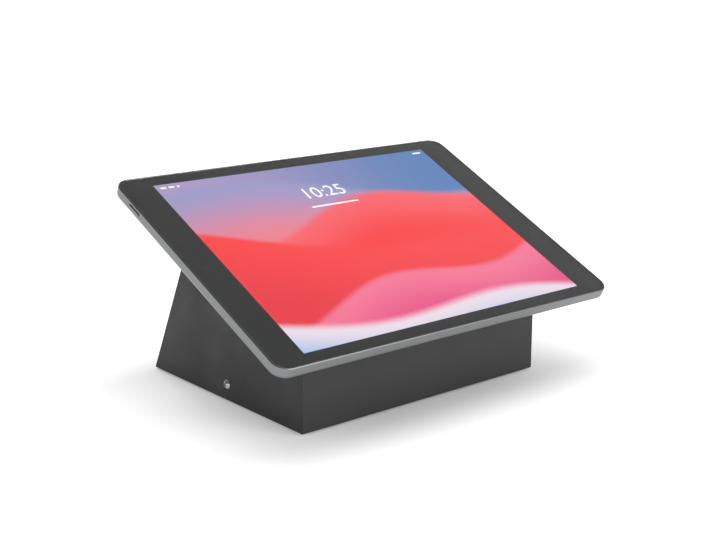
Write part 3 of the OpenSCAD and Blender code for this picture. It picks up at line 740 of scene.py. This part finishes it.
# %% Screws
SCREW_R = 1.5 * MM
SCREW_L = 11 * MM
KEY_FLAT = 1.0 * MM
KEY_DEPTH = 1.0 * MM
KEY_EASE = 0.1 * MM
PIN_R = 0.35 * MM
PIN_H = 0.65 * MM
PIN_EASE = 0.2
DOME_RINGS = 10
UPRIGHT = np.array([0.0, 0.0, 1.0])
BACKWARD = np.array([0.0, 1.0, 0.0])

screws_low, screws_high = node_box("side_screws")
HEAD_R = (screws_high[2] - screws_low[2]) / 2
HEAD_H = screws_high[0] - WEDGE_HALF
DOME_R = (HEAD_R**2 + HEAD_H**2) / (2 * HEAD_H)


def dome_height(radius):
    """Height of the domed head at a distance from its axis, on a sphere of radius DOME_R."""
    return HEAD_H - DOME_R + np.sqrt(DOME_R**2 - radius**2)


def screw(place, steps=72):
    """A domed screw with a pin in a six-sided recess: rings from the pin's top down to the recess's floor,
    out to flat / cos(a mod 60 - 30), up, over the dome and down the shank."""
    angle = np.arange(steps) * 2 * math.pi / steps
    key = KEY_FLAT / np.cos(np.mod(angle, math.pi / 3) - math.pi / 6)
    key_floor = HEAD_H - KEY_DEPTH
    pin_top = key_floor + PIN_H
    share = np.linspace(0, 1, DOME_RINGS)[:, None]
    dome = (key + KEY_EASE) * (1 - share) + HEAD_R * share
    pin_rim = [((1 - PIN_EASE) * PIN_R, pin_top), (PIN_R, pin_top - PIN_EASE * PIN_R)]
    pin = [(0, pin_top), *pin_rim, (PIN_R, key_floor)]
    recess = [(key, key_floor), (key, dome_height(key + KEY_EASE) - KEY_EASE)]
    shank = [(SCREW_R, 0), (SCREW_R, SCREW_R / 2 - SCREW_L), (SCREW_R / 2, -SCREW_L), (0, -SCREW_L)]
    return turned([*pin, *recess, *zip(dome, dome_height(dome)), *shank], place, steps)


def on_cheek(side, middle):
    """A frame on a cheek's outer face, with its third axis outwards."""
    return np.array([side * WEDGE_HALF, *middle]), (side * BACKWARD, UPRIGHT, side * ACROSS)


screws = [screw(on_cheek(side, screw_middle)) for side in (-1, 1)]
show(make_mesh("security_screws", screws), "stainless", stands_for=["side_screws"])

# %% [markdown]
# ## Rubber pieces
# Soft rubber keeps the edges of the cable ways from cutting a lead: a round grommet in the right cheek, and
# a trim pushed over the rim of the notch at the back. Both are a moulded section with a groove for the
# sheet, turned about an axis for the grommet and carried round the arch for the trim. The feet are turned
# too, with a dimple underneath that grips the counter.

# %% Grommet
BORE_R = 5.5 * MM
GROMMET_LIP_R = 10.5 * MM
GROMMET_LIP_T = 1.6 * MM
RUBBER_GAP = 0.02 * MM
GROOVE_GAP = 0.05 * MM
GROMMET_EASES = np.array([0.8, 0.8, 1.3, 0.15, 0.05, 0.05, 0.15, 1.3]) * MM

groove_r = GROMMET_HOLE_R - GROOVE_GAP
lip_out, lip_in = GROMMET_LIP_T, -SHEET_T - GROMMET_LIP_T
groove_out, groove_in = RUBBER_GAP, -SHEET_T - RUBBER_GAP
grommet_corners = [
    (BORE_R, lip_in), (BORE_R, lip_out), (GROMMET_LIP_R, lip_out), (GROMMET_LIP_R, groove_out),
    (groove_r, groove_out), (groove_r, groove_in), (GROMMET_LIP_R, groove_in), (GROMMET_LIP_R, lip_in),
]
grommet_section = softened(grommet_corners, GROMMET_EASES)
grommet = turned(grommet_section, on_cheek(1, grommet_middle), close=True)
show(make_mesh("cable_grommet", [grommet]), "rubber", stands_for=["side_grommet"])

# %% Notch trim
TRIM_T = 1.4 * MM
TRIM_LIP = 2.5 * MM
TRIM_GAP = 0.05 * MM
TRIM_EASES = np.array([0.6, 0.6, 0.9, 0.1, 0.0, 0.0, 0.1, 0.9]) * MM
BACK_AXES = (ACROSS, np.array([0, *BACK_UP]), np.array([0, *FACE_OUT[2]]))
ON_BACK = (np.array([0, wedge_back, wedge_edge]), BACK_AXES)


def arched_trim(section, place, steps=24):
    """A section carried up one leg, round the arch and down the other: the arch's radius + its first value
    gives the reach, and both ends are cut level, so a point's end height is -depth * tan(lean)."""
    reach, depth = section.T
    angle = np.linspace(0, math.pi, steps + 1)[:, None]
    radius = NOTCH_W / 2 + reach
    over = NOTCH_H - NOTCH_W / 2 + radius * np.sin(angle)
    arch = np.stack(np.broadcast_arrays(radius * np.cos(angle), over, depth), -1)
    cut = -depth * math.tan(back_lean)
    legs = [np.stack([side * radius, cut, depth], -1)[None] for side in (1, -1)]
    return skin(np.concatenate([legs[0], arch, legs[1]]), place, capped=True)


trim_out, trim_in = TRIM_T, -SHEET_T - TRIM_T
trim_corners = [
    (-TRIM_T, trim_in), (-TRIM_T, trim_out), (TRIM_LIP, trim_out), (TRIM_LIP, groove_out),
    (-TRIM_GAP, groove_out), (-TRIM_GAP, groove_in), (TRIM_LIP, groove_in), (TRIM_LIP, trim_in),
]
trim = arched_trim(softened(trim_corners, TRIM_EASES), ON_BACK)
show(make_mesh("notch_trim", [trim]), "rubber", stands_for=["cable_notch_trim"])

# %% Feet
FOOT_R = 7 * MM
FOOT_RIM = 0.8 * MM
SOLE_EASE = 0.3 * MM
SOLE_RISE = 0.2 * MM
DIMPLE_R = 3 * MM
DIMPLE_H = 0.6 * MM
DIMPLE_CURVE = np.array([(0, 1), (0.6, 0.9), (0.9, 0.35), (1, 0)])

feet_low, feet_high = node_box("rubber_feet")
foot_h = feet_high[2] - feet_low[2]
sole_r = FOOT_R - FOOT_RIM
sole = [(sole_r - SOLE_EASE, 0), (sole_r - SOLE_EASE / 3, 0.3 * SOLE_RISE), (sole_r, SOLE_RISE)]
foot_section = [*(DIMPLE_CURVE * (DIMPLE_R, DIMPLE_H)), *sole, (FOOT_R, foot_h), (0, foot_h)]
feet = [
    turned(foot_section, ((x, y, feet_low[2]), (ACROSS, BACKWARD, UPRIGHT)), steps=48)
    for x in (feet_low[0] + FOOT_R, feet_high[0] - FOOT_R)
    for y in (feet_low[1] + FOOT_R, feet_high[1] - FOOT_R)
]
show(make_mesh("feet", feet), "rubber", stands_for=["rubber_feet"])

# %% [markdown]
# ## What the tablet lies on
# A steel carrier plate is bolted through the slope, and two pads of foam tape bond the tablet to it. Only
# their edges show in the thin gap under the tablet, so what matters is that the steel has an eased edge and
# that the foam draws in a little between the two faces it holds.

# %% Carrier plate and foam pads
CARRIER_L = 98 * MM
CARRIER_R = 8 * MM
CARRIER_EDGE = 0.35 * MM
PAD_W = 144 * MM
PAD_L = 38 * MM
PAD_T = 1.1 * MM
PAD_R = 1 * MM
PAD_PITCH = 50 * MM
PAD_WAIST = 0.2 * MM
PAD_RINGS = 9

carrier_low, carrier_high = node_box("carrier_plate")
carrier_outline = rounded_outline(carrier_high[0] - carrier_low[0], CARRIER_L, CARRIER_R)
carrier_edge = rounded_edge(0, CARRIER_T, CARRIER_EDGE, CARRIER_EDGE)
carrier = plate(carrier_outline, carrier_edge, ON_SLOPE)
show(make_mesh("carrier", [carrier]), "coated_plate", stands_for=["carrier_plate"])

pad_share = np.linspace(0, 1, PAD_RINGS)
pad_section = np.stack([PAD_WAIST * np.sin(math.pi * pad_share), CARRIER_T + PAD_T * pad_share], -1)
pads = [
    plate(rounded_outline(PAD_W, PAD_L, PAD_R), pad_section, (top_middle + up * SLOPE_UP, SLOPE_AXES))
    for up in (-PAD_PITCH / 2, PAD_PITCH / 2)
]
show(make_mesh("foam_pads", pads), "foam_tape", stands_for=["adhesive_pads"])

# %% [markdown]
# ## The tablet's housing
# The housing is milled from one block: a round back edge, a bright chamfer round the glass, and slots for
# the buttons, the port and the speaker holes. The CAD solid already has all of that exactly, so it is the
# right shape to keep. Its mesh is loose triangles, though, with long slivers between the slots, and
# averaged normals would draw streaks along the rim. The outer shell is a plate with round corners and a
# round back edge, so in a merged copy each corner of a face on that shell gets its exact normal from a
# formula.

# %% Housing
TABLET_W = 250.6 * MM
TABLET_L = 174.1 * MM
TABLET_R = 9 * MM
BACK_EDGE_R = 3 * MM
MERGE_REACH = 1e-6
TINY = 1e-12


def read_rows(items, name):
    """One three-number property of all of a mesh's items, as rows."""
    values = np.empty(3 * len(items), np.float32)
    items.foreach_get(name, values)
    return values.reshape(-1, 3)


def shell_normals(points):
    """Outer normals, worked out in the tablet's frame. With p the way from a corner's centre, zero along
    the sides, and d its length, they point along
    (p / d * max(d - corner radius + edge radius, 0), -max(edge radius - height, 0))."""
    axes = np.array(SLOPE_AXES)
    local = (points - tablet_middle) @ axes.T
    straight = np.array([TABLET_W, TABLET_L]) / 2 - TABLET_R
    into = np.sign(local[:, :2]) * np.maximum(np.abs(local[:, :2]) - straight, 0)
    deep = np.linalg.norm(into, axis=1, keepdims=True)
    side = into / (deep + TINY) * np.maximum(deep - TABLET_R + BACK_EDGE_R, 0)
    normal = np.concatenate([side, -np.maximum(BACK_EDGE_R - local[:, 2:], 0)], 1)
    return normal / (np.linalg.norm(normal, axis=1, keepdims=True) + TINY) @ axes


housing_mesh = frame["nodes"]["rear_housing"].data.copy()
housing_mesh.name = "housing"
merge(housing_mesh, MERGE_REACH)
housing = show(housing_mesh, "anodised_aluminium", stands_for=["rear_housing"])
housing.modifiers.clear()
corners = np.empty(len(housing_mesh.loops), np.int32)
housing_mesh.loops.foreach_get("vertex_index", corners)
corner_faces = np.repeat(read_rows(housing_mesh.polygons, "normal"), 3, axis=0)
exact = shell_normals(read_rows(housing_mesh.vertices, "co")[corners])
on_shell = (exact * corner_faces).sum(1, keepdims=True) > math.cos(CRISP)
normals = np.where(on_shell, exact, read_rows(housing_mesh.corner_normals, "vector"))
housing_mesh.normals_split_custom_set(normals.tolist())
print("housing:", int(on_shell.sum()), "of", len(normals), "corners lie on the shell")

# %% [markdown]
# ## The glass
# The cover glass fills the recess in the rim. Its upper edge is ground to a small round, which catches a
# line of light, so it is drawn as a plate with a quarter-circle edge and not as the CAD slab with its
# square edge. It stops a hair above the printed border so that the two faces don't flicker.

# %% Glass
GLASS_IN = 0.9 * MM
GLASS_SEAT = 0.02 * MM
GLASS_LOW_EDGE = 0.08 * MM
GLASS_TOP_EDGE = 0.4 * MM

glass_w, glass_l = TABLET_W - 2 * GLASS_IN, TABLET_L - 2 * GLASS_IN
glass_outline = rounded_outline(glass_w, glass_l, TABLET_R - GLASS_IN, steps=20)
glass_edge = rounded_edge(TABLET_T - GLASS_T + GLASS_SEAT, TABLET_T, GLASS_LOW_EDGE, GLASS_TOP_EDGE)
glass = plate(glass_outline, glass_edge, ON_TABLET)
show(make_mesh("glass", [glass]), "cover_glass", stands_for=["cover_glass"])

# %% [markdown]
# ## Buttons
# The three buttons are small milled pills that stand just proud of the rim and are kept in by a lip behind
# the wall. Each rides on its own body, so it can be pressed. The lip, the stem and the eased outer edge are
# one section carried round the widest outline.

# %% Buttons
BUTTON_LEVEL = 4.5 * MM
BUTTON_H = 1.8 * MM
BUTTON_LIP = 0.7 * MM
BUTTON_EASE = 0.3 * MM
BUTTON_STEPS = 5
BUTTON_BACK = -3.0 * MM
BUTTON_STEM = -2.5 * MM
BUTTON_PROUD = 0.55 * MM
POWER_L = 11 * MM
POWER_IN = 26 * MM
VOLUME_L = 10 * MM
VOLUME_IN = 26 * MM
VOLUME_PITCH = 14 * MM


def button(length, place):
    """A pill-shaped button: the lip at the outline, the stem a lip's width inside, the face eased off."""
    outline = rounded_outline(length + 2 * BUTTON_LIP, BUTTON_H + 2 * BUTTON_LIP, BUTTON_H / 2 + BUTTON_LIP)
    turn = np.linspace(0, math.pi / 2, BUTTON_STEPS + 1)
    inset = BUTTON_LIP + BUTTON_EASE * (1 - np.cos(turn))
    height = BUTTON_PROUD - BUTTON_EASE * (1 - np.sin(turn))
    root = [(0, BUTTON_BACK), (0, BUTTON_STEM), (BUTTON_LIP, BUTTON_STEM)]
    return plate(outline, np.concatenate([root, np.stack([inset, height], -1)]), place)


left_rim = seat((-TABLET_W / 2, TABLET_L / 2 - POWER_IN, BUTTON_LEVEL), ON_TABLET)
power = make_mesh("button_power", [button(POWER_L, (left_rim, (SLOPE_UP, SLOPE_OUT, -ACROSS)))])
show(power, "anodised_aluminium", body="power", stands_for=["power_button"])
for number, way in enumerate(("volume_up", "volume_down")):
    rim_x = -TABLET_W / 2 + VOLUME_IN + number * VOLUME_PITCH
    back_rim = seat((rim_x, TABLET_L / 2, BUTTON_LEVEL), ON_TABLET)
    volume = make_mesh("button_" + way, [button(VOLUME_L, (back_rim, (ACROSS, -SLOPE_OUT, SLOPE_UP)))])
    show(volume, "anodised_aluminium", body=way, stands_for=[way + "_button"])

# %% [markdown]
# ## The rear camera
# Under the tablet's upper left corner a small camera stands a little proud of the housing: a turned ring
# with an eased rim, and a disc of dark glass set into it.

# %% Rear camera
REAR_CAMERA_IN = 15 * MM
RING_R = 4.5 * MM
RING_PROUD = 0.6 * MM
RING_EASE = 0.25 * MM
RING_ROUND = 0.07 * MM
RING_BEVEL = 0.15 * MM
FLANGE_R = 6 * MM
FLANGE_TOP = -1.0 * MM
RING_END = -4.2 * MM
LENS_R = 2.75 * MM
LENS_GAP = 0.05 * MM
LENS_SEAT = -0.1 * MM
LENS_LIFT = 0.01 * MM
LENS_EDGE = 0.1 * MM
LENS_SUNK = np.array([0.25, 0.17, 0.1, 0.08]) * MM

camera_spot = seat((-TABLET_W / 2 + REAR_CAMERA_IN, TABLET_L / 2 - REAR_CAMERA_IN, 0), ON_TABLET)
UNDER_TABLET = (camera_spot, (-ACROSS, SLOPE_UP, -SLOPE_OUT))
seat_r = LENS_R + LENS_GAP
ring_section = [
    (0, LENS_SEAT), (seat_r, LENS_SEAT), (seat_r, RING_PROUD - RING_BEVEL),
    (seat_r + RING_BEVEL, RING_PROUD), (RING_R - RING_EASE, RING_PROUD),
    (RING_R - RING_ROUND, RING_PROUD - RING_ROUND), (RING_R, RING_PROUD - RING_EASE),
    (RING_R, FLANGE_TOP), (FLANGE_R, FLANGE_TOP), (FLANGE_R, RING_END), (0, RING_END),
]
ring = turned(ring_section, UNDER_TABLET)
show(make_mesh("camera_ring", [ring]), "black_plastic", stands_for=["rear_camera"])

lens_low = LENS_SEAT + LENS_LIFT
lens_face = zip((LENS_R, LENS_R - LENS_EDGE, LENS_R / 2, 0), RING_PROUD - LENS_SUNK)
lens = turned([(0, lens_low), (LENS_R, lens_low), *lens_face], UNDER_TABLET)
show(make_mesh("camera_glass", [lens]), "lens_glass", stands_for=["camera_lens"])

# %% [markdown]
# ## Clock on the screen
# A plain clock makes the screen read as lit. Blender's own letter shapes are a quick source of figures: the
# text is made a mesh first, and its points are then seated on the screen like those of any other piece. The
# light behind a screen is never quite even, so a broad noise lets the white of the marks wander a little.

# %% Finish of the marks
MARK_WHITES = ((0.93, 0.94, 0.96, 1.0), WHITE)
MARK_GLOW = 1.12
BACKLIGHT_PATCH = 12 * MM
BACKLIGHT_DETAIL = 2.0

marks_values = {"Base Color": SCREEN_BLACK, "Emission Strength": MARK_GLOW}
marks_finish, marks_tree, marks_shader, marks_place = new_finish("screen_marks", marks_values)
backlight = new_noise(marks_tree, marks_place, BACKLIGHT_PATCH, BACKLIGHT_DETAIL)
mark_white = new_mix(marks_tree, new_range(marks_tree, backlight, *NOISE_SPAN), *MARK_WHITES)
plug(marks_tree, marks_shader.inputs["Emission Color"], mark_white)
FINISHES["screen_marks"] = marks_finish
print("marks: glow", MARK_GLOW)

# %% Clock figures
CLOCK_SIZE = 15 * MM
CLOCK_UP = 44.5 * MM
MARK_LEVEL = 6.49 * MM
MARK_T = 0.03 * MM

figures = bpy.data.curves.new("clock_text", "FONT")
figures.body = "10:25"
figures.size = CLOCK_SIZE
figures.align_x = "CENTER"
figures.extrude = MARK_T
figures_object = bpy.data.objects.new("clock_text", figures)
scene.collection.objects.link(figures_object)
bpy.context.view_layer.update()
evaluated = figures_object.evaluated_get(bpy.context.evaluated_depsgraph_get())
clock_mesh = bpy.data.meshes.new_from_object(evaluated)
bpy.data.objects.remove(figures_object)
clock_mesh.name = "clock_figures"
figure_points = read_rows(clock_mesh.vertices, "co") + np.array([0, CLOCK_UP, MARK_LEVEL])
clock_mesh.vertices.foreach_set("co", seat(figure_points, ON_TABLET).ravel())
show(clock_mesh, "screen", finish="screen_marks")

# %% Rule under the clock and status marks
RULE_UP = 36 * MM
RULE_W = 36 * MM
RULE_T = 1.3 * MM
STATUS_UP = 74.5 * MM
STATUS_T = 1.5 * MM
# Each pill's place across the screen and its width, in millimetres
STATUS_PILLS = ((-99, 4), (-93.5, 4), (-89, 2), (97, 7))


def pill(across, up, width, thickness):
    """A thin pill on the screen: a rounded outline carried up over the thickness of a mark."""
    edge = [(0, MARK_LEVEL - MARK_T), (0, MARK_LEVEL + MARK_T)]
    place = (seat((across, up, 0), ON_TABLET), SLOPE_AXES)
    return plate(rounded_outline(width, thickness, thickness / 2), edge, place)


pills = [pill(0, RULE_UP, RULE_W, RULE_T)]
pills += [pill(across * MM, STATUS_UP, width * MM, STATUS_T) for across, width in STATUS_PILLS]
show(make_mesh("screen_pills", pills), "screen", finish="screen_marks")
